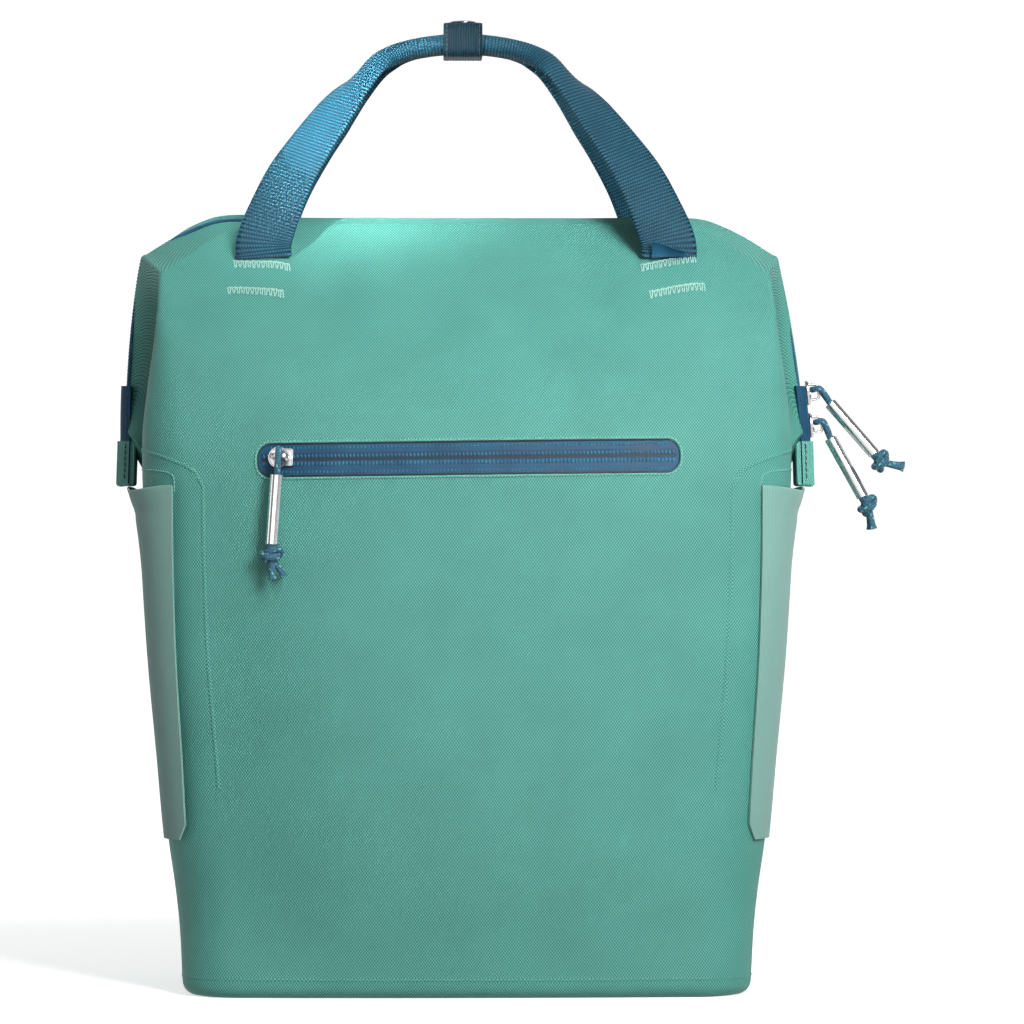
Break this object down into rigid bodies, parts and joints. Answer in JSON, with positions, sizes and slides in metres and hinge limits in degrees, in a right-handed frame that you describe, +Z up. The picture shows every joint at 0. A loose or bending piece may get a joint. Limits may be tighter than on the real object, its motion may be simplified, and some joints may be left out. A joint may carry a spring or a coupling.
{
  "type": "cooler backpack",
  "caption": "Padded cooler backpack with a folded, zipped top, joined carry loops, stretch side pockets, a zipped front pocket and shoulder straps.",
  "frame": {"origin": "middle of the flat underside, where the bag stands", "axes": "+Z up, front towards -Y, +X to the viewer's right of the front"},
  "size_m": [0.4085, 0.2432, 0.4985],
  "materials": {
    "fabric": "matt coated twill, welded",
    "stretch": "fine stretch knit",
    "webbing": "ribbed nylon webbing",
    "zip": "coated zip tape",
    "cord": "braided cord with pale flecks",
    "metal": "polished",
    "plastic": "fine matt"
  },
  "bodies": {
    "root": {"body_shell": "fabric", "mouth_zip": "zip", "zip_end_strip_right": "zip", "zip_end_strip_left": "zip", "zip_end_tab_right": "fabric", "zip_end_tab_left": "fabric", "side_pocket_right": "stretch", "side_pocket_left": "stretch", "front_pocket_zip": "zip", "carry_loop_front": "webbing", "carry_loop_back": "webbing", "loop_keeper": "webbing", "keeper_snap": "metal", "flag_label": "zip", "front_zip_slider": "metal", "front_zip_pull_cord": "cord", "front_zip_pull_barrel": "metal", "lower_side_zip_slider": "metal", "lower_side_zip_pull_cord": "cord", "lower_side_zip_pull_barrel": "metal", "upper_side_zip_slider": "metal", "upper_side_zip_pull_cord": "cord", "upper_side_zip_pull_barrel": "metal", "shoulder_strap_right": "fabric", "shoulder_strap_left": "fabric", "strap_buckle_right": "plastic", "strap_buckle_left": "plastic", "strap_webbing_right": "webbing", "strap_webbing_left": "webbing", "strap_anchor_right": "fabric", "strap_anchor_left": "fabric"}
  },
  "joints": []
}
